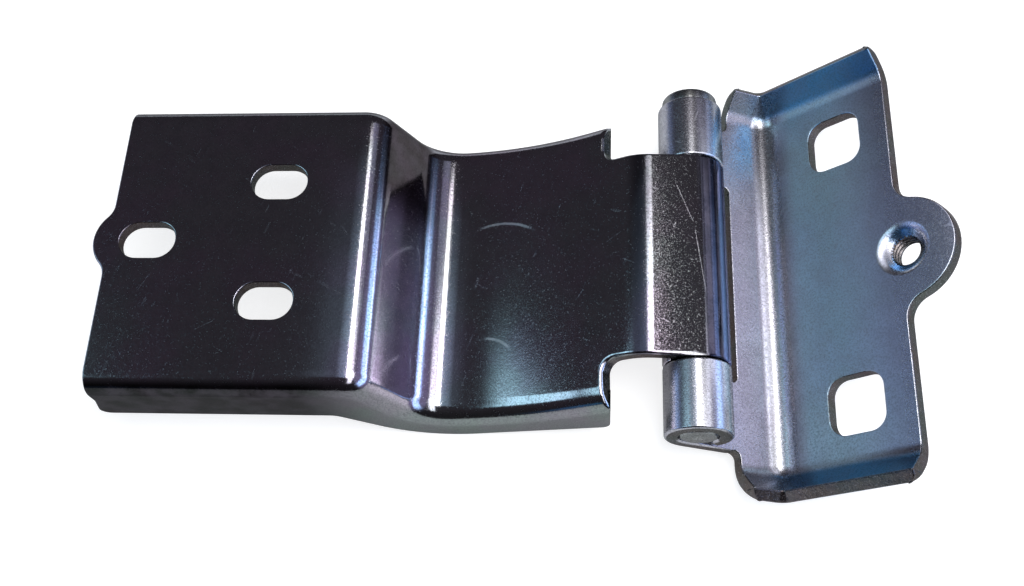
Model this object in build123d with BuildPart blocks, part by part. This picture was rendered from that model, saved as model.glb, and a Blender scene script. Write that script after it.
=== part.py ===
"""Rear door hinge of a van: two pressed steel leaves that turn on one headed pin.

Millimetres. X runs along the door leaf's plate towards the pin, Y along the pin, Z up.
The hinge lies open as on a bench, and the origin is under the middle of its outline.
"""
import os
from math import asin, atan2, cos, degrees, hypot, radians, sin, tan

from build123d import *

# Sheet and knuckle
SHEET = 3.3                 # thickness of both leaves
KNUCKLE_RADIUS = 8.0        # outside of the rolled eyes
CURL_WRAP = 298.0           # degrees that the sheet is rolled round the pin
BODY_KNUCKLE = 16.8         # length of each of the body leaf's eyes
KNUCKLE_GAP = 0.3           # free play between neighbouring eyes, each side
PIN_HEIGHT = 17.8           # pin axis above the bench

# Pin
RUNNING_CLEARANCE = 0.05    # radial, pin in the door leaf's eye
TIGHT_CLEARANCE = 0.02      # radial, pin in the body leaf's eyes
HEAD_RADIUS = 6.9
HEAD_RIM = 2.9
HEAD_DOME = 1.2
STAKE_RADIUS = 2.4          # punch mark that spreads the plain end
STAKE_DEPTH = 0.7
PIN_CHAMFER = 0.6

# Door leaf: heights are above the pin axis, distances run from the pin axis to the left
DOOR_EDGE = 140.8           # straight edge of the mounting plate
DOOR_WIDTH = 75.8
DOOR_PLATE_RISE = 13.8      # outer face of the mounting plate
FLANGE_BEND = 5.2           # outside radius between the plate and its side flanges
JOGGLE_AT = 76.4
JOGGLE_ANGLE = 61.5
JOGGLE_BEND = 9.0           # outside radius at the top of the joggle
SADDLE_AT = 65.0
SADDLE_BEND = 11.0          # outside face, hollow bend at the foot of the joggle
SADDLE_ANGLE = 5.5          # slope of the plate past the joggle
RISE_AT = 41.8
RISE_ANGLE = 27.0           # slope of the plate before the tongue
RISE_BEND = 88.0
CREST_BEND = 14.0
TONGUE_DROP = 5.0           # slope at which the tongue meets its eye
WING_END = 22.2             # where the full width stops beside the tongue
NOTCH_WIDTH = 11.65         # how far the tongue stands in from the full width, each side
WING_SHEAR = 2.2            # how far the sheared end runs on through the sheet
NOTCH_CORNER = 3.2
FLANGE_DEPTH = 18.0         # side flange, down from the mounting plate
FLANGE_LEAD = 2.2           # the flange's free corner leads the plate's edge
FLANGE_STEP_AT = 85.2
FLANGE_STEP_ANGLE = 39.0
FLANGE_STEP_BEND = 4.0
FLANGE_BELLY = 28.0         # round belly of the flange that rests on the bench
FLANGE_RUN_ANGLE = 11.8     # lower edge, from the belly up to the notch
FLANGE_TOE = 2.5

# Door leaf: ear and slots for M8 screws
EAR_STAND = 3.8             # how far the ear stands out of the plate's edge
EAR_RADIUS = 9.0
EAR_BLEND = 5.0
SLOT_LENGTH = 13.8
SLOT_WIDTH = 9.4
END_SLOT_AT = 131.2
PAIR_SLOT_AT = 100.6
PAIR_SPACING = 31.6

# Body leaf: its plate leans up from a valley, seen from the pin
LEAF_ANGLE = 41.2
LEAF_OFFSET = 23.8          # pin axis to the plane of the plate's front face
LEAF_END = 41.1             # along the plate, from the foot of that offset to the free edge
LEAF_WIDTH = 111.4          # over both lips
VALLEY_BEND = 6.3           # front face
VALLEY_DEPTH = 16.2         # pin axis down to the valley's underside
STRIP_EDGE = 10.3           # pin axis to the strip's front edge
TAB_ROOT = 2.0              # how far the blended tabs lap into the strip
TAB_BLEND = 2.0
RELIEF_BLEND = 1.5
LIP_ANGLE = 47.0
LIP_RISE = 5.5
LIP_BEND = 5.0              # front face
LEAF_CORNER = 2.5
STRIP_CORNER = 3.0

# Body leaf: square holes and the tapped ear
SQUARE = 14.0
SQUARE_CORNER = 4.0
SQUARE_AT = 26.6
SQUARE_SPACING = 69.0
TAP_AT = 41.6
TAP_RADIUS = 3.4            # M8 core hole
TAP_EAR_RADIUS = 12.8
TAP_EAR_BLEND = 5.5
DIMPLE_RADIUS = 6.8
DIMPLE_DEPTH = 1.4
MOUTH_RADIUS = 4.5
MOUTH_DEPTH = 2.3
COLLAR_RADIUS = 6.0
COLLAR_HEIGHT = 2.9
COLLAR_BLEND = 1.5

# Worked out from the sizes above
BORE_RADIUS = KNUCKLE_RADIUS - SHEET
DOOR_KNUCKLE = DOOR_WIDTH - 2 * NOTCH_WIDTH
EAR_REACH = DOOR_EDGE + EAR_STAND
BODY_KNUCKLE_IN = DOOR_KNUCKLE / 2 + KNUCKLE_GAP
BODY_KNUCKLE_OUT = BODY_KNUCKLE_IN + BODY_KNUCKLE
LEAN = radians(LEAF_ANGLE)
BODY_REACH = (TAP_AT + TAP_EAR_RADIUS) * cos(LEAN) + (LEAF_OFFSET + SHEET) * sin(LEAN)
PIN_X = (EAR_REACH - BODY_REACH) / 2
BEYOND = 20.0               # how far cutting shapes run past the sheet
NEAR = 0.01                 # two places closer than this are the same

# Drawing planes through the pin axis: side view, and the face of the body leaf's plate
side = Plane(origin=(PIN_X, 0, PIN_HEIGHT), x_dir=(1, 0, 0), z_dir=(0, -1, 0))
leaf_normal = (-sin(LEAN), 0, cos(LEAN))
leaf_face = Plane(
    origin=(PIN_X - LEAF_OFFSET * leaf_normal[0], 0, PIN_HEIGHT - LEAF_OFFSET * leaf_normal[2]),
    x_dir=(cos(LEAN), 0, sin(LEAN)),
    z_dir=leaf_normal,
)


def meet(first, second):
    """Corner of two straight runs, each given as (point, heading in degrees)."""
    (x1, z1), a = first[0], radians(first[1])
    (x2, z2), b = second[0], radians(second[1])
    along = ((x2 - x1) * sin(b) - (z2 - z1) * cos(b)) / (cos(a) * sin(b) - sin(a) * cos(b))
    return (x1 + along * cos(a), z1 + along * sin(a))


def sunk(run, depth):
    """The same straight run, deeper inside the sheet."""
    (x, z), heading = run
    return ((x + depth * sin(radians(heading)), z - depth * cos(radians(heading))), heading)


def corners(runs, depth):
    """Corners between neighbouring runs, depth below the outer face."""
    deep = [sunk(run, depth) for run in runs]
    return [meet(deep[i], deep[i + 1]) for i in range(len(deep) - 1)]


def bend_radii(runs, radii, depth):
    """Radii of the same bends: smaller inside a crest, larger inside a hollow."""
    return [
        radius + (depth if after[1] > before[1] else -depth)
        for before, after, radius in zip(runs, runs[1:], radii)
    ]


def at_x(run, x):
    """Point of a straight run at a given x."""
    (px, pz), heading = run
    return (x, pz + (x - px) * tan(radians(heading)))


def curl(start_angle):
    """Section of a rolled eye, from where the sheet meets it, clockwise round the pin."""
    with BuildSketch(side) as section:
        with BuildLine():
            outer = CenterArc((0, 0), KNUCKLE_RADIUS, start_angle, -CURL_WRAP)
            inner = CenterArc((0, 0), BORE_RADIUS, start_angle, -CURL_WRAP)
            Line(outer @ 0, inner @ 0)
            Line(outer @ 1, inner @ 1)
        make_face()
    return section.sketch


def strip_section(runs, radii, start_x):
    """Section of the sheet along its runs, from a place on the first to the end of the last."""
    with BuildSketch(side) as section:
        with BuildLine():
            faces = [
                FilletPolyline(
                    at_x(sunk(runs[0], depth), start_x),
                    *corners(runs, depth),
                    sunk(runs[-1], depth)[0],
                    radius=bend_radii(runs, radii, depth),
                )
                for depth in (0, SHEET)
            ]
            Line(faces[0] @ 0, faces[1] @ 0)
            Line(faces[0] @ 1, faces[1] @ 1)
        make_face()
    return section.sketch


def side_edges(part, half_width):
    """The part's edges that follow the side view at a given half width, apart from its ends."""
    return part.edges().filter_by(
        lambda e: abs(abs(e.center().Y) - half_width) < NEAR
        and e.center().Z > 0
        and abs((e % 0.5).Z) < 0.95
    )


def sheet_edges(part, x, y, reach):
    """The part's short edges through the sheet near a place, on both sides of the middle."""
    return part.edges().filter_by(
        lambda e: abs(e.length - SHEET) < SHEET / 10
        and abs(abs(e.center().Y) - y) < NEAR
        and abs(e.center().X - x) < reach
    )


# Side view of the door leaf's outer face: one straight run after another, left to right
drop = radians(TONGUE_DROP)
tongue_end = (KNUCKLE_RADIUS * sin(drop), KNUCKLE_RADIUS * cos(drop))
plate_run = ((-DOOR_EDGE, DOOR_PLATE_RISE), 0)
joggle_run = ((-JOGGLE_AT, DOOR_PLATE_RISE), -JOGGLE_ANGLE)
saddle_run = (at_x(joggle_run, -SADDLE_AT), SADDLE_ANGLE)
rise_run = (at_x(saddle_run, -RISE_AT), RISE_ANGLE)
tongue_run = (tongue_end, -TONGUE_DROP)
door_runs = [plate_run, joggle_run, saddle_run, rise_run, tongue_run]
door_bends = [JOGGLE_BEND, SADDLE_BEND, RISE_BEND, CREST_BEND]


def door_block(depth):
    """Side view of all that lies under the door leaf's outer face, or under a deeper face."""
    left = -EAR_REACH - BEYOND
    right = tongue_end[0]
    bottom = -PIN_HEIGHT - BEYOND
    with BuildSketch(side) as section:
        with BuildLine():
            top = FilletPolyline(
                at_x(sunk(plate_run, depth), left),
                *corners(door_runs, depth),
                at_x(sunk(tongue_run, depth), right),
                radius=bend_radii(door_runs, door_bends, depth),
            )
            Polyline(top @ 0, (left, bottom), (right, bottom), top @ 1)
        make_face()
    return section.sketch


# Lower edge of the side flanges: a step, a round belly on the bench, and a straight run
flange_foot = DOOR_PLATE_RISE - FLANGE_DEPTH
belly_z = FLANGE_BELLY - PIN_HEIGHT
step_angle = radians(FLANGE_STEP_ANGLE)
belly_x = (FLANGE_BELLY - (belly_z - flange_foot) * cos(step_angle)) / sin(step_angle) - FLANGE_STEP_AT
edge_angle = radians(FLANGE_RUN_ANGLE)
belly_exit = (belly_x + FLANGE_BELLY * sin(edge_angle), belly_z - FLANGE_BELLY * cos(edge_angle))
step_run = ((-FLANGE_STEP_AT, flange_foot), -FLANGE_STEP_ANGLE)
edge_run = (belly_exit, FLANGE_RUN_ANGLE)
wing_tip = at_x(rise_run, -WING_END)
wing_back = at_x(sunk(rise_run, SHEET), WING_SHEAR - WING_END)

with BuildPart() as door_leaf:
    half = DOOR_WIDTH / 2
    # Channel: a solid block with rounded shoulders, hollowed to the sheet's thickness
    extrude(door_block(0), amount=half, both=True)
    fillet(side_edges(door_leaf.part, half), radius=FLANGE_BEND)
    extrude(door_block(SHEET), amount=half - SHEET, both=True, mode=Mode.SUBTRACT)
    fillet(side_edges(door_leaf.part, half - SHEET), radius=FLANGE_BEND - SHEET)

    # Outline of the flanges and of the end of the full width, seen from the side
    with BuildSketch(side):
        with BuildLine():
            low = FilletPolyline(
                (-DOOR_EDGE, flange_foot + FLANGE_DEPTH / 2),
                (-DOOR_EDGE - FLANGE_LEAD, flange_foot),
                (-FLANGE_STEP_AT, flange_foot),
                meet(step_run, edge_run),
                at_x(edge_run, wing_back[0]),
                wing_back,
                radius=[FLANGE_TOE, FLANGE_STEP_BEND, FLANGE_BELLY, FLANGE_TOE],
            )
            over = DOOR_PLATE_RISE + BEYOND
            Polyline(low @ 1, wing_tip, (wing_tip[0], over), (-DOOR_EDGE, over), low @ 0)
        make_face()
    extrude(amount=half, both=True, mode=Mode.INTERSECT)

    # Tongue between the wings, and the eye that it is rolled into
    extrude(
        strip_section([rise_run, tongue_run], [CREST_BEND], -WING_END - SHEET),
        amount=DOOR_KNUCKLE / 2,
        both=True,
    )
    extrude(curl(90 - TONGUE_DROP), amount=DOOR_KNUCKLE / 2, both=True)
    notch = sheet_edges(door_leaf.part, PIN_X - WING_END + WING_SHEAR / 2, DOOR_KNUCKLE / 2, 1)
    fillet(notch, radius=NOTCH_CORNER)

    # Ear round the end slot
    with BuildSketch(Plane.XY.offset(PIN_HEIGHT + DOOR_PLATE_RISE)) as ear:
        with Locations((PIN_X - DOOR_EDGE + EAR_RADIUS, 0)):
            Rectangle(2 * EAR_RADIUS, 4 * EAR_RADIUS)
        with Locations((PIN_X - EAR_REACH + EAR_RADIUS, 0)):
            Circle(EAR_RADIUS)
        fillet(
            ear.vertices().filter_by(
                lambda v: abs(v.X - PIN_X + DOOR_EDGE) < NEAR and abs(v.Y) < EAR_RADIUS
            ),
            radius=EAR_BLEND,
        )
    extrude(amount=-SHEET)

    # Slots for the door's screws
    with BuildSketch(Plane.XY.offset(PIN_HEIGHT + DOOR_PLATE_RISE)):
        with Locations(
            (PIN_X - END_SLOT_AT, 0),
            (PIN_X - PAIR_SLOT_AT, PAIR_SPACING / 2),
            (PIN_X - PAIR_SLOT_AT, -PAIR_SPACING / 2),
        ):
            SlotOverall(SLOT_LENGTH, SLOT_WIDTH)
    extrude(amount=-2 * SHEET, mode=Mode.SUBTRACT)

# Body leaf, seen from the side: a valley between the strip below the pin and the leaning plate
valley_out = VALLEY_BEND + SHEET
valley_z = valley_out - VALLEY_DEPTH
valley_x = (LEAF_OFFSET - VALLEY_BEND + valley_z * cos(LEAN)) / sin(LEAN)
strip_angle = degrees(
    asin((valley_out - KNUCKLE_RADIUS) / hypot(valley_x, valley_z)) - atan2(valley_z, valley_x)
)
strip_normal = (sin(radians(strip_angle)), cos(radians(strip_angle)))
strip_run = ((-BORE_RADIUS * strip_normal[0], -BORE_RADIUS * strip_normal[1]), -strip_angle)
leaf_run = ((-LEAF_OFFSET * leaf_normal[0], -LEAF_OFFSET * leaf_normal[2]), LEAF_ANGLE)
leaf_end = (leaf_run[0][0] + LEAF_END * cos(LEAN), leaf_run[0][1] + LEAF_END * sin(LEAN))
strip_start = at_x(strip_run, STRIP_EDGE)

# Half of the tray's cross-section: the corner where the lip turns up, and the lip's free edge
lip = radians(LIP_ANGLE)
lip_end = LEAF_WIDTH / 2 - SHEET * sin(lip)
lip_corner = lip_end - LIP_RISE / tan(lip)


def tray_line(depth):
    """Cross-section points of one face of the tray, from lip to lip."""
    turn = lip_corner + depth * tan(lip / 2)
    end = (lip_end + depth * sin(lip), LIP_RISE - depth * cos(lip))
    return [(-end[0], end[1]), (-turn, -depth), (turn, -depth), end]


with BuildPart() as body_leaf:
    # Tray: flat with two flared lips, following the strip, the valley and the plate
    with BuildLine(side):
        spine = FilletPolyline(
            strip_start, meet(strip_run, leaf_run), leaf_end, radius=VALLEY_BEND
        )
    with BuildSketch(Plane(origin=spine @ 0, x_dir=(0, 1, 0), z_dir=spine % 0)):
        with BuildLine():
            front = FilletPolyline(*tray_line(0), radius=LIP_BEND)
            back = FilletPolyline(*tray_line(SHEET), radius=LIP_BEND + SHEET)
            Line(front @ 0, back @ 0)
            Line(front @ 1, back @ 1)
        make_face()
    sweep(path=spine)

    # Round the blank's corners: the two at the free edge, then the two at the strip
    with BuildSketch(leaf_face):
        with Locations((LEAF_END - LEAF_WIDTH / 2, 0)):
            RectangleRounded(LEAF_WIDTH, LEAF_WIDTH, LEAF_CORNER)
    extrude(amount=LEAF_WIDTH, both=True, mode=Mode.INTERSECT)
    strip_face = Plane(origin=spine @ 0, x_dir=spine % 0, z_dir=side.from_local_coords(
        Vector(*strip_normal, 0)) - side.origin)
    with BuildSketch(strip_face):
        with Locations((LEAF_WIDTH / 2, 0)):
            RectangleRounded(LEAF_WIDTH, LEAF_WIDTH, STRIP_CORNER)
    extrude(amount=LEAF_WIDTH, both=True, mode=Mode.INTERSECT)

    # Two tabs, blended into the strip's edge, each rolled into an eye from below
    tab_length = (Vector(*strip_start) - Vector(*strip_run[0])).length
    tab_centres = [(0, side_sign * (BODY_KNUCKLE_IN + BODY_KNUCKLE / 2)) for side_sign in (1, -1)]
    with BuildSketch(strip_face) as tabs:
        with Locations((TAB_ROOT / 2, 0)):
            Rectangle(TAB_ROOT, 2 * (BODY_KNUCKLE_OUT + TAB_BLEND))
        with Locations(*tab_centres):
            Rectangle(tab_length, BODY_KNUCKLE, align=(Align.MAX, Align.CENTER))
        for y, radius in ((BODY_KNUCKLE_IN, RELIEF_BLEND), (BODY_KNUCKLE_OUT, TAB_BLEND)):
            fillet(
                tabs.vertices().filter_by(lambda v: abs(v.X) < NEAR and abs(abs(v.Y) - y) < NEAR),
                radius=radius,
            )
    extrude(amount=-SHEET)
    for _, middle in tab_centres:
        eye = curl(-90 - strip_angle).moved(Location((0, middle, 0)))
        extrude(eye, amount=BODY_KNUCKLE / 2, both=True)

    # Ear round the tapped hole
    with BuildSketch(leaf_face) as tap_ear:
        with Locations((LEAF_END - TAP_EAR_RADIUS / 2, 0)):
            Rectangle(TAP_EAR_RADIUS, 4 * TAP_EAR_RADIUS)
        with Locations((TAP_AT, 0)):
            Circle(TAP_EAR_RADIUS)
        fillet(
            tap_ear.vertices().filter_by(
                lambda v: abs(v.X - LEAF_END) < NEAR and abs(v.Y) < 1.5 * TAP_EAR_RADIUS
            ),
            radius=TAP_EAR_BLEND,
        )
    extrude(amount=-SHEET)

    # Drawn collar behind the tapped hole, dimple and mouth in front of it
    with BuildSketch(leaf_face.offset(-SHEET)):
        with Locations((TAP_AT, 0)):
            Circle(COLLAR_RADIUS)
    extrude(amount=-COLLAR_HEIGHT)
    collar_root = body_leaf.edges().filter_by(GeomType.CIRCLE).filter_by(
        lambda e: abs(e.radius - COLLAR_RADIUS) < NEAR
        and abs(leaf_face.to_local_coords(e.center()).Z + SHEET) < NEAR
    )
    fillet(collar_root, radius=COLLAR_BLEND)
    tap_section = Plane(
        origin=leaf_face.from_local_coords((TAP_AT, 0, 0)), x_dir=(0, 1, 0), z_dir=leaf_face.x_dir
    )
    with BuildSketch(tap_section):
        with BuildLine():
            dimple = ThreePointArc(
                (DIMPLE_RADIUS, 0),
                ((DIMPLE_RADIUS + MOUTH_RADIUS) / 2, -DIMPLE_DEPTH * 0.3),
                (MOUTH_RADIUS, -DIMPLE_DEPTH),
            )
            Polyline(
                dimple @ 1,
                (TAP_RADIUS, -MOUTH_DEPTH),
                (TAP_RADIUS, -SHEET - COLLAR_HEIGHT),
                (0, -SHEET - COLLAR_HEIGHT),
                (0, 0),
                dimple @ 0,
            )
        make_face()
    revolve(axis=Axis(tap_section.origin, leaf_normal), mode=Mode.SUBTRACT)

    # Square holes for the pillar's screws
    with BuildSketch(leaf_face):
        with Locations((SQUARE_AT, SQUARE_SPACING / 2), (SQUARE_AT, -SQUARE_SPACING / 2)):
            RectangleRounded(SQUARE, SQUARE, SQUARE_CORNER)
    extrude(amount=-2 * SHEET, mode=Mode.SUBTRACT)


# Pin: domed head, tight in the body leaf's eyes, running in the door leaf's, staked plain end
tight = BORE_RADIUS - TIGHT_CLEARANCE
running = BORE_RADIUS - RUNNING_CLEARANCE
head_top = BODY_KNUCKLE_OUT + HEAD_RIM + HEAD_DOME
pin_centre = Location((PIN_X, 0, PIN_HEIGHT))
with BuildPart() as hinge_pin:
    with BuildSketch(Plane.XY.move(pin_centre)):
        with BuildLine():
            shank = Polyline(
                (0, head_top),
                (0, STAKE_DEPTH - BODY_KNUCKLE_OUT),
                (STAKE_RADIUS, -BODY_KNUCKLE_OUT),
                (tight - PIN_CHAMFER, -BODY_KNUCKLE_OUT),
                (tight, PIN_CHAMFER - BODY_KNUCKLE_OUT),
                (tight, -BODY_KNUCKLE_IN),
                (running, -BODY_KNUCKLE_IN),
                (running, BODY_KNUCKLE_IN),
                (tight, BODY_KNUCKLE_IN),
                (tight, BODY_KNUCKLE_OUT),
                (HEAD_RADIUS, BODY_KNUCKLE_OUT),
                (HEAD_RADIUS, BODY_KNUCKLE_OUT + HEAD_RIM),
            )
            TangentArc(shank @ 0, shank @ 1, tangent=(1, 0))
        make_face()
    revolve(axis=Axis(pin_centre.position, (0, 1, 0)))

os.makedirs("parts", exist_ok=True)
for name, built in (("door_leaf", door_leaf), ("body_leaf", body_leaf), ("hinge_pin", hinge_pin)):
    built.part.label = name
    export_step(built.part, f"parts/{name}.step")
    print(name, round(built.part.volume), "mm3", len(built.part.solids()), "solid")
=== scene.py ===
"""Looks of the van's rear door hinge: bright zinc plating on pressed steel, in metres."""

import math

import bmesh
import bpy
from mathutils import Euler, Matrix, Vector
from mathutils.bvhtree import BVHTree


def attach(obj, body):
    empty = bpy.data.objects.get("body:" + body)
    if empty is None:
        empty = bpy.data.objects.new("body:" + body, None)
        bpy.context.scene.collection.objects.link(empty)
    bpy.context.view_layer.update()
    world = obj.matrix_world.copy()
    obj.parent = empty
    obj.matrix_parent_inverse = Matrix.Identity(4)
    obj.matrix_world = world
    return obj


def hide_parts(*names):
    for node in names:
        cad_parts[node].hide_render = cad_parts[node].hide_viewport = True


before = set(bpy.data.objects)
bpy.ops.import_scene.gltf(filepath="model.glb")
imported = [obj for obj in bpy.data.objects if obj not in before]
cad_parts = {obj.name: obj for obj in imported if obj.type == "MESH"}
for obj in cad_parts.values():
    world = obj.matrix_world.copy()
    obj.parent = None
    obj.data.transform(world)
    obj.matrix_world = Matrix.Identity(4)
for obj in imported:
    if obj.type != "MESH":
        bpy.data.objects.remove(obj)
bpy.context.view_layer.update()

MM = 0.001
SHEET = 3.3 * MM
EYE_RADIUS = 8 * MM
PIN = Vector((42.90907, 0, 17.8)) * MM

# Body leaf's plate and its M8 hole, as in the frame; depths run along the plate's normal
LEAN = math.radians(41.2)
ALONG = Vector((math.cos(LEAN), 0, math.sin(LEAN)))
NORMAL = Vector((-math.sin(LEAN), 0, math.cos(LEAN)))
TAP_CENTRE = PIN - NORMAL * 23.8 * MM + ALONG * 41.6 * MM
TAP_RADIUS = 3.4 * MM
THREAD_TOP = -2.3 * MM
THREAD_BOTTOM = -6.2 * MM
THREAD_PITCH = 1.25 * MM
THREAD_DEPTH = 0.6 * MM

# Thread mesh: how fine it is, its gap to the hole's rims, and the turn's section in pitches
THREAD_AROUND = 72
THREAD_RINGS = 52
THREAD_INSET = 0.06 * MM
THREAD_HALF_FOOT = 0.375
THREAD_FLANK = 0.3125
THREAD_RUN_IN = 9  # the turns grow over the wall's first ninth and fade over its last
TAP_WALL_TOLERANCE = 0.03 * MM
TAP_WALL_MIN_LENGTH = 1 * MM
RIM_REACH = 1 * MM  # a rim of the hole lies this near to the thread's end ring

# Rounds of sharp edges
SHARP = math.radians(32)
DRAWN_ROUND = 0.8 * MM
EYE_ROUND = 0.6 * MM
PIN_HEAD_ROUND = 0.6 * MM
PIN_END_ROUND = 0.12 * MM
SHEARED_ROUND = 0.35 * MM
PLATED_ROUND = 0.5 * MM  # a larger round is plated like the face beside it
ROUND_SEGMENTS = 3
PIN_HIDDEN = 40 * MM  # edges of the pin nearer to the middle than this lie in the eyes
DRAWN_FROM, DRAWN_TO = -3 * MM, 50 * MM  # where along X the upper edges are drawn ones
FACES_UP = 0.3  # z of a normal from which a face counts as an upper one

# Margins for telling the CAD's faces and edges apart
PROBE_START = 0.02 * MM
SHEET_MARGIN = 0.12 * SHEET
EYE_MARGIN = 0.2 * MM
THREAD_END_MARGIN = 0.2 * MM
THREAD_SIDE_MARGIN = 0.1 * MM

# Mesh repair
CAD_WELD = 0.002 * MM
CAD_FLAT = math.radians(0.4)
STRAY = 0.26 * MM  # a vertex further from the CAD surface than this went astray
ROUND_WELD = 0.003 * MM
ROUND_COLLAPSE = 0.002 * MM

# Camera fitted to the photograph; its turn goes from the world to the camera
CAMERA_AT = Vector((22.0, -119.74, 270.41)) * MM
CAMERA_TURN = Euler([math.radians(a) for a in (-23.948, -4.745, -0.213)])
CAMERA_LENS = 40.22
SENSOR_WIDTH = 36

FLOOR_RADII = (0.25, 0.8, 2.4)
FLOOR_AROUND = 96
FLOOR_COLOUR = 0.42
FLOOR_GLOW = 0.78
MIRRORED_GLOW = 0.3  # part of the floor's glow that mirrored rays see


class Graph:
    """Short calls for shader nodes."""

    def __init__(self, tree):
        self.tree = tree
        tree.nodes.clear()

    def feed(self, socket, value):
        if isinstance(value, bpy.types.NodeSocket):
            self.tree.links.new(value, socket)
        else:
            socket.default_value = value

    def node(self, kind, inputs=(), **settings):
        made = self.tree.nodes.new(kind)
        for name, value in settings.items():
            setattr(made, name, value)
        for key, value in dict(inputs).items():
            self.feed(made.inputs[key], value)
        return made

    def math(self, operation, *values):
        return self.node("ShaderNodeMath", enumerate(values), operation=operation).outputs[0]

    def chain(self, operation, values):
        """One operation over any number of values, from left to right."""
        first, *others = values
        for value in others:
            first = self.math(operation, first, value)
        return first

    def product(self, *factors):
        return self.chain("MULTIPLY", factors)

    def add(self, *terms):
        return self.chain("ADD", terms)

    def most(self, *values):
        return self.chain("MAXIMUM", values)

    def vector(self, operation, *values):
        made = self.node("ShaderNodeVectorMath", enumerate(values), operation=operation)
        return made.outputs["Value" if operation in ("DOT_PRODUCT", "LENGTH") else "Vector"]

    def split(self, vector):
        return self.node("ShaderNodeSeparateXYZ", {0: vector}).outputs

    def between(self, value, low, high):
        """0 below low, 1 above high, smooth between; low may be the larger."""
        inputs = {"Value": value, "From Min": low, "From Max": high}
        return self.node("ShaderNodeMapRange", inputs, interpolation_type="SMOOTHSTEP").outputs[0]

    def ramp(self, place, low, high):
        """Like between, with the limits in mm."""
        return self.between(place, low * MM, high * MM)

    def spread(self, value, low, high):
        """Value 0..1 spread over low..high."""
        inputs = {"Value": value, "To Min": low, "To Max": high}
        return self.node("ShaderNodeMapRange", inputs).outputs[0]

    def mix(self, factor, a, b, blend="MIX"):
        made = self.node("ShaderNodeMix", data_type="RGBA", blend_type=blend)
        for socket, value in ((0, factor), (6, a), (7, b)):
            self.feed(made.inputs[socket], value)
        return made.outputs[2]

    def noise(self, vector, scale, detail, rough):
        inputs = {"Vector": vector, "Scale": scale, "Detail": detail, "Roughness": rough}
        return self.node("ShaderNodeTexNoise", inputs).outputs[0]


def grey(value):
    return (value, value, value, 1)


# ---------------------------------------------------------------- pieces


def link(obj):
    bpy.context.scene.collection.objects.link(obj)
    return obj


def is_cut_edge(tree, centre, normal):
    """A face of the sheet has the other face 3.3 mm behind it; a sheared edge hasn't."""
    distance = tree.ray_cast(centre - normal * PROBE_START, -normal)[3]
    return distance is None or abs(distance - SHEET) > SHEET_MARGIN


def dressed(node, materials):
    """Copy of a CAD node with its sheared edges marked by the second material, if there is one."""
    bm = bmesh.new()
    bm.from_mesh(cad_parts[node].data)
    bmesh.ops.remove_doubles(bm, verts=bm.verts, dist=CAD_WELD)
    if len(materials) > 1:
        tree = BVHTree.FromBMesh(bm)
        bm.normal_update()
        for face in bm.faces:
            sheared = is_cut_edge(tree, face.calc_center_median(), face.normal)
            face.material_index = 1 if sheared else 0
    else:
        for face in bm.faces:
            face.material_index = 0
    bmesh.ops.dissolve_limit(
        bm, angle_limit=CAD_FLAT, verts=bm.verts, edges=bm.edges, delimit={"MATERIAL"}
    )
    return bm


def tap_place(spot):
    """Depth along the tapped hole's axis, and distance from it."""
    off = spot - TAP_CENTRE
    depth = off.dot(NORMAL)
    return depth, (off - NORMAL * depth).length


def pin_edge_radius(middle):
    """Wide at the head, small at the staked end, none inside the eyes."""
    if abs(middle.y) < PIN_HIDDEN:
        return 0
    return PIN_HEAD_ROUND if middle.y > 0 else PIN_END_ROUND


def leaf_edge_radius(edge, middle):
    """Wide where the sheet is drawn over the die or rolled, small elsewhere, none at the thread."""
    depth, radius = tap_place(middle)
    in_thread = THREAD_BOTTOM - THREAD_END_MARGIN < depth < THREAD_TOP + THREAD_END_MARGIN
    if in_thread and radius < TAP_RADIUS + THREAD_DEPTH + THREAD_SIDE_MARGIN:
        return 0
    plated_faces = [f for f in edge.link_faces if f.material_index == 0]
    if len(plated_faces) == 1:
        around_pin = Vector((middle.x - PIN.x, 0, middle.z - PIN.z)).length
        if abs(around_pin - EYE_RADIUS) < EYE_MARGIN:
            return EYE_ROUND
        if plated_faces[0].normal.z > FACES_UP and DRAWN_FROM < middle.x < DRAWN_TO:
            return DRAWN_ROUND
    return SHEARED_ROUND


def edge_radius(edge, is_pin):
    middle = (edge.verts[0].co + edge.verts[1].co) / 2
    return pin_edge_radius(middle) if is_pin else leaf_edge_radius(edge, middle)


def round_edges(bm, is_pin):
    """Bevels the sharp edges, the widest first, and puts stray vertices back on the surface."""
    bm.normal_update()
    before = BVHTree.FromBMesh(bm)
    by_radius = {}
    sharp = [e for e in bm.edges if len(e.link_faces) == 2 and e.calc_face_angle() > SHARP]
    for edge in sharp:
        by_radius.setdefault(edge_radius(edge, is_pin), []).append(edge)
    by_radius.pop(0, None)
    for radius in sorted(by_radius, reverse=True):
        bmesh.ops.bevel(
            bm, geom=[e for e in by_radius[radius] if e.is_valid], offset=radius,
            offset_type="OFFSET", segments=ROUND_SEGMENTS, profile=0.5, affect="EDGES",
            clamp_overlap=False, material=0 if radius > PLATED_ROUND else -1,
        )
    for vert in bm.verts:
        surface, _, _, distance = before.find_nearest(vert.co)
        if distance > STRAY:
            vert.co = surface
    bmesh.ops.remove_doubles(bm, verts=bm.verts, dist=ROUND_WELD)
    bmesh.ops.dissolve_degenerate(bm, edges=bm.edges, dist=ROUND_COLLAPSE)


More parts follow.
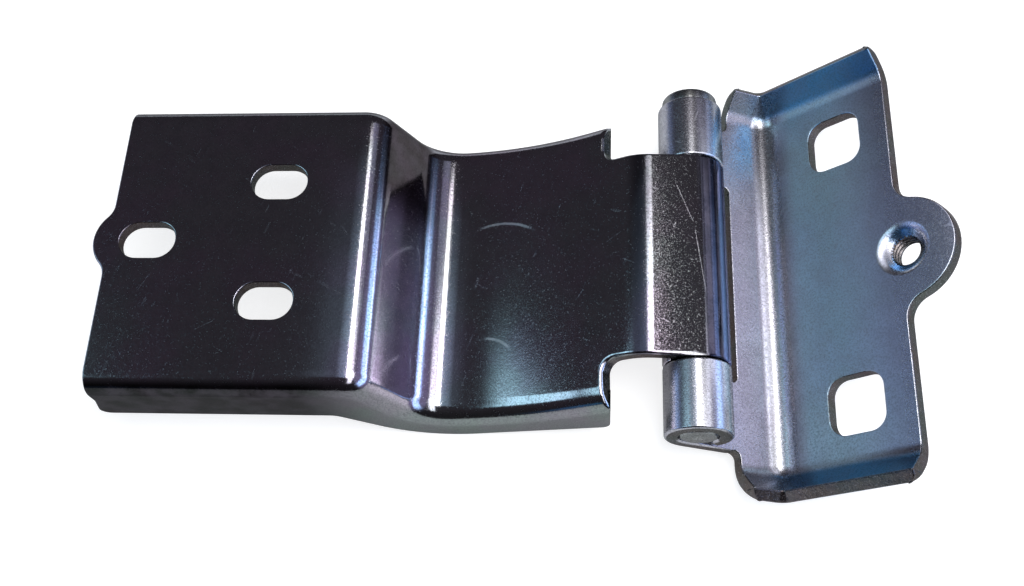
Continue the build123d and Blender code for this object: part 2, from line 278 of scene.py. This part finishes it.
def finish_piece(bm, name, node, body, materials):
    """Visible piece that rides its body and stands for the CAD node."""
    round_edges(bm, is_pin=len(materials) == 1)
    for face in bm.faces:
        face.smooth = True
    mesh = bpy.data.meshes.new(name)
    bm.to_mesh(mesh)
    bm.free()
    for material in materials:
        mesh.materials.append(material)
    piece = link(bpy.data.objects.new(name, mesh))
    weighted = piece.modifiers.new("even shading", "WEIGHTED_NORMAL")
    weighted.mode = "FACE_AREA"
    weighted.weight = 50
    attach(piece, body)
    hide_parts(node)


def thread_ring(bm, share):
    """Ring of vertices on the threaded wall, at a share of the way down."""
    run = THREAD_BOTTOM - THREAD_TOP + 2 * THREAD_INSET
    depth = THREAD_TOP - THREAD_INSET + run * share
    across = Vector((0, 1, 0))
    ring = []
    for j in range(THREAD_AROUND):
        turn = 2 * math.pi * j / THREAD_AROUND
        phase = (depth / THREAD_PITCH + j / THREAD_AROUND) % 1
        height = min(1, max(0, (THREAD_HALF_FOOT - abs(phase - 0.5)) / THREAD_FLANK))
        height *= min(1, share * THREAD_RUN_IN, (1 - share) * THREAD_RUN_IN)
        radius = TAP_RADIUS + THREAD_DEPTH * height
        outward = across * math.cos(turn) + ALONG * math.sin(turn)
        ring.append(bm.verts.new(TAP_CENTRE + NORMAL * depth + outward * radius))
    return ring


def cut_thread(bm):
    """Replaces the plain wall of the tapped hole by M8 thread turns."""
    wall = []
    for face in bm.faces:
        spots = [tap_place(v.co) for v in face.verts]
        if all(abs(radius - TAP_RADIUS) < TAP_WALL_TOLERANCE for _, radius in spots):
            depths = [depth for depth, _ in spots]
            if max(depths) - min(depths) > TAP_WALL_MIN_LENGTH:
                wall.append(face)
    rims = [e for f in wall for e in f.edges if len([g for g in e.link_faces if g in wall]) == 1]
    bmesh.ops.delete(bm, geom=wall, context="FACES")

    grid = [thread_ring(bm, i / THREAD_RINGS) for i in range(THREAD_RINGS + 1)]
    middle = TAP_CENTRE + NORMAL * (THREAD_TOP + THREAD_BOTTOM) / 2
    for low, high in zip(grid, grid[1:]):
        for j in range(THREAD_AROUND):
            k = (j + 1) % THREAD_AROUND
            face = bm.faces.new((low[j], low[k], high[k], high[j]))
            face.normal_update()
            inward = middle - face.calc_center_median()
            inward -= NORMAL * inward.dot(NORMAL)
            if face.normal.dot(inward) < 0:
                face.normal_flip()
            face.material_index = 1
    for ring in (grid[0], grid[-1]):
        ring_edges = [bm.edges.get(pair) for pair in zip(ring, ring[1:] + ring[:1])]
        depth = tap_place(ring[0].co)[0]
        rim = [
            e for e in rims
            if e.is_valid and abs(tap_place(e.verts[0].co)[0] - depth) < RIM_REACH
        ]
        for face in bmesh.ops.bridge_loops(bm, edges=ring_edges + rim)["faces"]:
            face.material_index = 1
    return bm


# ---------------------------------------------------------------- materials

DULL = grey(0.16)
GLINT = (0.8, 0.82, 0.9, 1)
VIOLET = (0.25, 0.22, 0.27, 1)
PALE_WEAR = (0.8, 0.8, 0.84, 1)
HAIR_TURNS = (0.55, 1.9)  # radians: two directions of wiping
HAIR_STRETCH = (0.07, 1.0, 0.3)


def scratch_mask(g, where, start, end, width):
    """Thin straight mark on the part, seen from above, from start to end in mm."""
    a = Vector((*start, 0)) * MM
    b = Vector((*end, 0)) * MM
    run = (b - a).normalized()
    side = Vector((-run.y, run.x, 0))
    off = g.vector("SUBTRACT", where, tuple(a))
    along = g.vector("DOT_PRODUCT", off, tuple(run))
    across = g.math("ABSOLUTE", g.vector("DOT_PRODUCT", off, tuple(side)))
    length = (b - a).length
    line = g.ramp(across, width, 0.25 * width)
    start_fade = g.between(along, 0, 0.15 * length)
    end_fade = g.between(along, length, 0.8 * length)
    return g.product(line, start_fade, end_fade)


def rub_mask(g, where, centre, radius, width, sweep):
    """Pale crescent rubbed into the plating: an arc about centre in mm, between two angles."""
    parts = g.split(g.vector("SUBTRACT", where, tuple(Vector((*centre, 0)) * MM)))
    flat = g.node("ShaderNodeCombineXYZ", {0: parts[0], 1: parts[1]}).outputs[0]
    off_ring = g.math("ABSOLUTE", g.math("SUBTRACT", g.vector("LENGTH", flat), radius * MM))
    line = g.ramp(off_ring, width, 0.2 * width)
    angle = g.math("ARCTAN2", parts[1], parts[0])
    low, high = (math.radians(a) for a in sweep)
    fade = 0.3
    ends = g.product(g.between(angle, low, low + fade), g.between(angle, high, high - fade))
    on_top = g.ramp(parts[2], 8, 9)
    return g.product(line, ends, on_top)


def body_painted_blue_and_rough(g, base, side, place):
    """Painted blue reflection and shade on the lips' inner sides; a painted blue tint in a band
    along the plate, which is rougher too.
    """
    inward = g.product(side[1], g.math("SIGN", place[1]))
    # painted blue reflection, darker too, on the inward-facing sides of the lips
    lips = g.product(g.between(inward, -0.3, -0.65), g.ramp(place[0], 56, 66))
    base = g.mix(lips, base, (0.3, 0.66, 1, 1), "MULTIPLY")
    # painted blue tint of reflection in the band; the roughness it adds is real
    band = g.product(g.ramp(place[0], 66, 70), g.ramp(place[0], 90, 76))
    return g.mix(band, base, (0.72, 0.95, 1, 1), "MULTIPLY"), g.product(band, 0.22)


def door_painted_shade(g, base, side, place):
    """Painted shade on the flanges and the step, in the bend before the tongue and right of the
    eye, with a painted blue reflection at the eye's rim.
    """
    # painted shade: the flanges' outer faces and the step darkened by place and by the way they
    # face
    flange = g.product(g.between(g.math("ABSOLUTE", side[1]), 0.35, 0.75), g.ramp(place[0], 33, 28))
    step = g.product(g.between(side[0], 0.45, 0.75), g.ramp(place[1], 2, 18))
    step = g.product(step, g.ramp(place[0], -12, -20))
    shade = g.mix(g.ramp(place[0], -50, -28), (0.07, 0.07, 0.065, 1), (0.5, 0.55, 0.5, 1))
    shade = g.mix(g.ramp(place[1], 5, 15), shade, (0.14, 0.125, 0.12, 1))
    base = g.mix(g.most(flange, step), base, shade, "MULTIPLY")
    # painted shade over the eye's top, turning to a painted blue reflection at its rim
    eye = g.product(g.ramp(place[0], 43.6, 45.4), g.ramp(place[2], 16, 19))
    rim = g.ramp(place[0], 48.4, 49.2)
    shade = g.mix(rim, (0.10, 0.10, 0.13, 1), (0.45, 0.52, 0.85, 1))
    base = g.mix(eye, base, shade, "MULTIPLY")
    # painted shade in the bend before the tongue, narrowing the highlight there
    bend = g.product(g.ramp(place[0], 26, 29.5), g.ramp(place[0], 33.6, 31.6))
    return g.mix(bend, base, (0.30, 0.31, 0.33, 1), "MULTIPLY"), 0.0


def plated(name, colour, tint, rough, grain, wave_height=0.8, scratches=(), rubs=(), painted_light_and_roughness=None):
    """Bright zinc plating: fine sparkling grain, uneven film, wear and scratches.

    rough is the shader's roughness, grain the bump's height in mm. painted_light_and_roughness
    paints shade or a blue reflection into the base by place, and may add real roughness.
    """
    material = bpy.data.materials.new(name)
    material.use_nodes = True
    g = Graph(material.node_tree)
    coordinates = g.node("ShaderNodeTexCoord").outputs
    where = coordinates["Object"]
    side = g.split(coordinates["Normal"])
    place = g.split(where)

    # Scales are per metre
    tone = g.noise(where, 55, 3, 0.55)
    cloud = g.noise(where, 190, 4, 0.6)
    wave = g.noise(where, 420, 2, 0.5)
    fine = g.noise(where, 2300, 2, 0.6)
    speck = g.noise(where, 4300, 1, 0.5)

    base = g.mix(g.between(tone, 0.38, 0.66), colour, tint)
    dull = g.spread(g.between(fine, 0.35, 0.7), 0.0, 0.4)
    base = g.mix(dull, base, DULL, "MULTIPLY")
    glint = g.spread(g.between(speck, 0.6, 0.75), 0.0, 0.45)
    base = g.mix(glint, base, GLINT)
    placed_rough = 0.0
    # painted shade and painted blue reflection placed on the part; the roughness it adds is real
    if painted_light_and_roughness:
        base, placed_rough = painted_light_and_roughness(g, base, side, place)
    violet = g.spread(g.between(cloud, 0.35, 0.65), 0.0, 0.18)
    base = g.mix(violet, base, VIOLET)

    roughness = g.spread(cloud, rough - 0.015, rough + 0.02)
    for turn in HAIR_TURNS:
        inputs = {"Vector": where, "Angle": turn}
        turned = g.node("ShaderNodeVectorRotate", inputs, rotation_type="Z_AXIS").outputs[0]
        hair = g.noise(g.vector("MULTIPLY", turned, HAIR_STRETCH), 1300, 1, 0.4)
        hair = g.product(g.between(hair, 0.66, 0.73), g.between(cloud, 0.52, 0.62))
        roughness = g.add(roughness, g.product(hair, 0.12))
    roughness = g.add(roughness, placed_rough, g.spread(g.between(fine, 0.54, 0.72), 0.0, 0.19))

    marks = [g.product(scratch_mask(g, where, *scratch), 0.35) for scratch in scratches]
    for rub in rubs:
        marks.append(g.product(rub_mask(g, where, *rub), g.spread(fine, 0.1, 0.9)))
    if marks:
        wear = g.most(*marks)
        base = g.mix(g.product(wear, 0.6), base, PALE_WEAR)
        roughness = g.add(roughness, g.product(wear, 0.5))

    height = g.add(fine, g.product(wave, wave_height))
    height = g.add(height, g.product(g.between(speck, 0.58, 0.72), 0.4))
    bump = g.node("ShaderNodeBump", {"Strength": 1.0, "Distance": grain * MM, "Height": height})
    shader = g.node("ShaderNodeBsdfPrincipled", {
        "Base Color": base, "Roughness": roughness, "Normal": bump.outputs[0], "Metallic": 1.0,
        "Specular Tint": grey(0.5),
    })
    g.node("ShaderNodeOutputMaterial", {"Surface": shader.outputs[0]})
    return material


# start, end and width in mm, seen from above
SCRATCHES = [
    ((38.3, 18.5), (42.8, 6.8), 0.16), ((42.6, 7.5), (45.1, -12.0), 0.16),
    ((-60.2, 7.2), (-59.3, 9.6), 0.2), ((-41.3, 3.9), (-39.4, 1.6), 0.12),
    ((21.5, 3.3), (25.5, 5.6), 0.1), ((-73.7, -23.6), (-68.4, -20.6), 0.1),
    ((14.4, -10.4), (16.5, -7.5), 0.1), ((-88.4, -13.5), (-85.6, -8.0), 0.1),
]
# centre, radius and width in mm, angles in degrees
RUBS = [((-5.0, -0.8), 14.6, 0.6, (48, 120)), ((-7.5, -25.0), 7.6, 0.6, (30, 100))]

steel_door = plated(
    "zinc_sheet", (0.62, 0.66, 0.68, 1), (0.69, 0.62, 0.73, 1), rough=0.09, grain=0.006,
    scratches=SCRATCHES, rubs=RUBS, painted_light_and_roughness=door_painted_shade,
)
steel_body = plated(
    "zinc_sheet_body", (0.64, 0.66, 0.70, 1), (0.66, 0.655, 0.72, 1), rough=0.25, grain=0.012,
    painted_light_and_roughness=body_painted_blue_and_rough,
)
# Sheared edges and the thread: dull, and their dark colour is partly their own and partly painted
# shade
steel_cut = plated(
    "zinc_cut_edge", (0.13, 0.15, 0.135, 1), (0.16, 0.125, 0.115, 1), rough=0.24, grain=0.03,
    wave_height=3.0,
)
steel_pin = plated(
    "zinc_pin", (0.36, 0.39, 0.38, 1), (0.38, 0.38, 0.37, 1), rough=0.26, grain=0.02,
    wave_height=3.0,
)

door_materials = [steel_door, steel_cut]
door = dressed("door_leaf", door_materials)
finish_piece(door, "door_leaf_plated", "door_leaf", "door_side", door_materials)
body_materials = [steel_body, steel_cut]
body = cut_thread(dressed("body_leaf", body_materials))
finish_piece(body, "body_leaf_plated", "body_leaf", "body_side", body_materials)
pin = dressed("hinge_pin", [steel_pin])
finish_piece(pin, "hinge_pin_plated", "hinge_pin", "body_side", [steel_pin])


# ---------------------------------------------------------------- stage


def floor_material():
    """Pale, and brighter to the camera than to the metal, as the photo's bench was dark."""
    material = bpy.data.materials.new("pale_floor")
    material.use_nodes = True
    g = Graph(material.node_tree)
    diffuse = g.node("ShaderNodeBsdfDiffuse", {"Color": grey(FLOOR_COLOUR)})
    path = g.node("ShaderNodeLightPath").outputs
    mirrored = g.most(path["Is Glossy Ray"], path["Is Transmission Ray"])
    seen = g.most(path["Is Camera Ray"], g.product(mirrored, MIRRORED_GLOW))
    strength = g.product(seen, FLOOR_GLOW)
    glow = g.node("ShaderNodeEmission", {"Color": grey(1), "Strength": strength})
    both = g.node("ShaderNodeAddShader", {0: diffuse.outputs[0], 1: glow.outputs[0]})
    g.node("ShaderNodeOutputMaterial", {"Surface": both.outputs[0]})
    return material


def floor_piece():
    """Pale round floor."""
    bm = bmesh.new()
    turns = [2 * math.pi * j / FLOOR_AROUND for j in range(FLOOR_AROUND)]
    rings = [
        [bm.verts.new((radius * math.cos(t), radius * math.sin(t), 0)) for t in turns]
        for radius in FLOOR_RADII
    ]
    bm.faces.new(rings[0])
    for low, high in zip(rings, rings[1:]):
        for j in range(FLOOR_AROUND):
            k = (j + 1) % FLOOR_AROUND
            bm.faces.new((low[j], high[j], high[k], low[k]))
    mesh = bpy.data.meshes.new("floor")
    bm.to_mesh(mesh)
    bm.free()
    mesh.materials.append(floor_material())
    link(bpy.data.objects.new("floor", mesh))


def studio_world():
    """Dark room with soft bright fields for the metal to mirror; plain white to the camera."""
    world = bpy.data.worlds.new("studio")
    bpy.context.scene.world = world
    world.use_nodes = True
    g = Graph(world.node_tree)
    x, y, z = g.split(g.node("ShaderNodeTexCoord").outputs["Generated"])
    rise = g.most(z, 0.02)
    slope_x = g.math("DIVIDE", x, rise)
    slope_y = g.math("DIVIDE", y, rise)

    def window(value, low, high, soft):
        """1 from low to high, with edges twice soft wide."""
        return g.product(
            g.between(value, low - soft, low + soft), g.between(value, high + soft, high - soft)
        )

    def card(x_range, y_range, soft_x, soft_y):
        """Soft rectangle on a ceiling: ranges are tangents from the zenith."""
        return g.product(window(slope_x, *x_range, soft_x), window(slope_y, *y_range, soft_y))

    not_far = g.between(y, 0.52, 0.36)
    right_card = card((0.45, 0.78), (-1.2, 0.47), 0.05, 0.08)
    left_card = card((-1.3, -0.62), (-0.6, 0.42), 0.10, 0.08)
    far_card = card((0.45, 0.95), (0.47, 0.80), 0.05, 0.12)
    right_wall = g.product(g.between(x, 0.55, 0.75), not_far)
    left_wall = g.product(g.between(x, -0.45, -0.85), g.between(y, 0.62, 0.25))
    left_wall = g.product(left_wall, g.between(y, -0.50, -0.25), g.between(z, 0.38, 0.26))
    near_corner = g.product(g.between(x, -0.35, -0.60), g.between(y, -0.5, -0.7))
    near_corner = g.product(near_corner, g.between(z, 0.17, 0.09))
    right_glow = g.product(g.between(x, 0.60, 0.80), not_far)
    right_glow = g.product(right_glow, g.between(z, 0.13, 0.22), g.between(z, 0.50, 0.40))

    light = (0.034, 0.029, 0.036, 1)
    for field, colour in (
        (right_card, (2.1, 2.1, 2.3, 1)),
        (left_card, (0.8, 1.3, 1.55, 1)),
        (far_card, (0.2, 0.2, 0.28, 1)),
        (right_wall, (0.20, 0.18, 0.30, 1)),
        (left_wall, (0.44, 0.64, 1.10, 1)),
        (near_corner, (0.04, 0.22, 0.5, 1)),
        (right_glow, (0.9, 1.5, 2.5, 1)),
    ):
        light = g.mix(field, light, colour, "ADD")
    light = g.mix(g.node("ShaderNodeLightPath").outputs["Is Camera Ray"], light, grey(1))
    background = g.node("ShaderNodeBackground", {"Color": light, "Strength": 1.0})
    g.node("ShaderNodeOutputWorld", {"Surface": background.outputs[0]})


def strip_lamp(name, x_range, y_range, height, radiance, colour, far=1.0, left=1.0, right=1.0):
    """Soft strip over the hinge; far, left and right are its brightness at that end or side."""
    data = bpy.data.lights.new(name, "AREA")
    data.shape = "RECTANGLE"
    data.size = x_range[1] - x_range[0]
    data.size_y = y_range[1] - y_range[0]
    data.energy = radiance * 4 * data.size * data.size_y  # makes the strip's face that bright
    data.color = colour
    data.use_nodes = True
    g = Graph(data.node_tree)
    across, along, _ = g.split(g.node("ShaderNodeNewGeometry").outputs["Parametric"])
    fade = g.spread(g.between(along, 0.68, 0.92), 1.0, far)
    fade = g.product(fade, g.spread(across, left, 1.0))
    fade = g.product(fade, g.spread(g.between(across, 0.7, 1.0), 1.0, right))
    emission = g.node("ShaderNodeEmission", {"Strength": fade})
    g.node("ShaderNodeOutputLight", {0: emission.outputs[0]})
    lamp = link(bpy.data.objects.new(name, data))
    lamp.location = (sum(x_range) / 2, sum(y_range) / 2, height)
    lamp.visible_camera = False


def soft_lamp():
    """Wide fill from the right that the metal doesn't mirror."""
    data = bpy.data.lights.new("soft_lamp", "AREA")
    data.shape = "DISK"
    data.size = 0.9
    data.energy = 8.0
    lamp = link(bpy.data.objects.new("soft_lamp", data))
    lamp.location = (0.25, -0.1, 1.1)
    lamp.rotation_euler = (-lamp.location).to_track_quat("-Z", "Y").to_euler()
    lamp.visible_glossy = False


def photo_camera():
    """Camera with the place and the lens that were fitted to the photograph."""
    data = bpy.data.cameras.new("camera")
    data.lens = CAMERA_LENS
    data.sensor_width = SENSOR_WIDTH
    data.clip_start = 0.005
    camera = link(bpy.data.objects.new("camera", data))
    turn = CAMERA_TURN.to_matrix().transposed().to_4x4()
    camera.matrix_world = Matrix.Translation(CAMERA_AT) @ turn
    bpy.context.scene.camera = camera


HIGH, LOW_RIGHT, IN_VALLEY = 0.22, 0.08, 0.056

floor_piece()
studio_world()
strip_lamp("main_strip", (0.026, 0.070), (-0.10, 0.15), HIGH, 5.5, (1.0, 0.97, 0.98),
           far=0.3, right=0.0)
strip_lamp("near_strip", (0.060, 0.125), (-0.10, 0.055), HIGH, 2.0, (1.0, 0.985, 0.99), far=0.0)
strip_lamp("blue_strip", (-0.095, 0.026), (-0.10, 0.13), HIGH, 0.38, (0.7, 0.92, 1.2),
           far=0.25, left=0.1)
strip_lamp("low_left_strip", (-0.090, 0.000), (-0.10, 0.05), HIGH, 0.3, (0.6, 0.95, 1.2),
           far=0.05, left=0.4)
strip_lamp("right_strip", (0.140, 0.180), (-0.05, 0.13), LOW_RIGHT, 0.45, (0.96, 0.95, 1.15))
strip_lamp("valley_strip", (0.070, 0.096), (-0.015, 0.06), IN_VALLEY, 0.9, (0.96, 0.97, 1.1),
           far=0.4)
soft_lamp()
photo_camera()
bpy.context.scene.view_settings.view_transform = "Standard"
